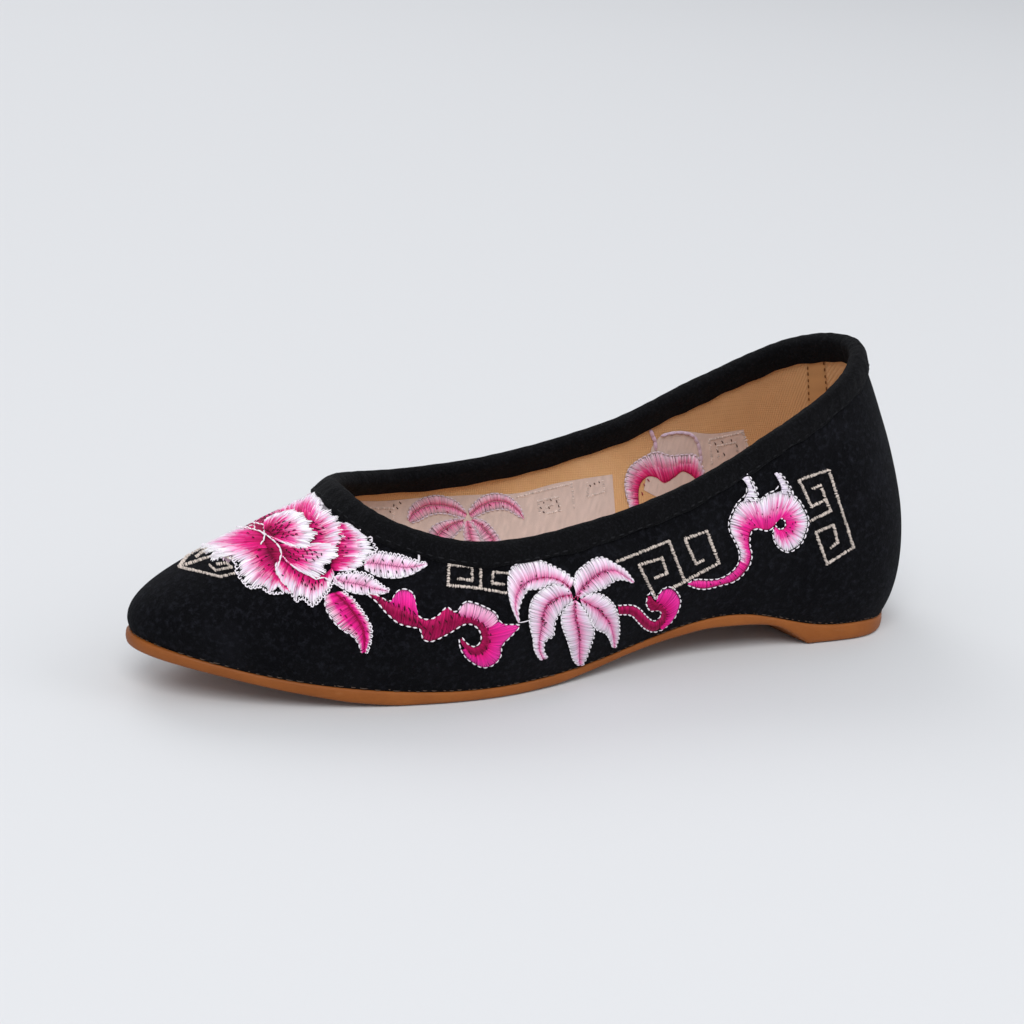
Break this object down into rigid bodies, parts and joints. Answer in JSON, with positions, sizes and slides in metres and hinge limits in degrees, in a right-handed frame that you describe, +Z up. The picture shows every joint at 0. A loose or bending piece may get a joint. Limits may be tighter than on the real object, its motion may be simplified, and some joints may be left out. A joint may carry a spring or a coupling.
{
  "type": "embroidered cloth flat shoe",
  "caption": "Pointed slip-on cloth flat with a folded collar binding, a moulded rubber sole with a low heel and a hidden wedge footbed; the left shoe of a pair.",
  "frame": {"origin": "on the floor, at the middle of the heel's flat underside", "axes": "+X towards the toe, +Y towards the wearer's left, which is this shoe's outer side, +Z up"},
  "size_m": [0.239, 0.0826, 0.0848],
  "materials": {
    "tan_rubber": "satin moulded rubber",
    "black_cloth": "matt brushed cotton",
    "black_binding": "folded cotton tape",
    "tan_lining": "woven cotton lining",
    "embroidery_pink": "lustrous rayon thread",
    "embroidery_white": "lustrous rayon thread",
    "embroidery_cream": "matt cotton thread"
  },
  "bodies": {
    "root": {"outsole": "tan_rubber", "upper": "black_cloth", "collar_binding": "black_binding", "footbed": "tan_lining"}
  },
  "joints": []
}
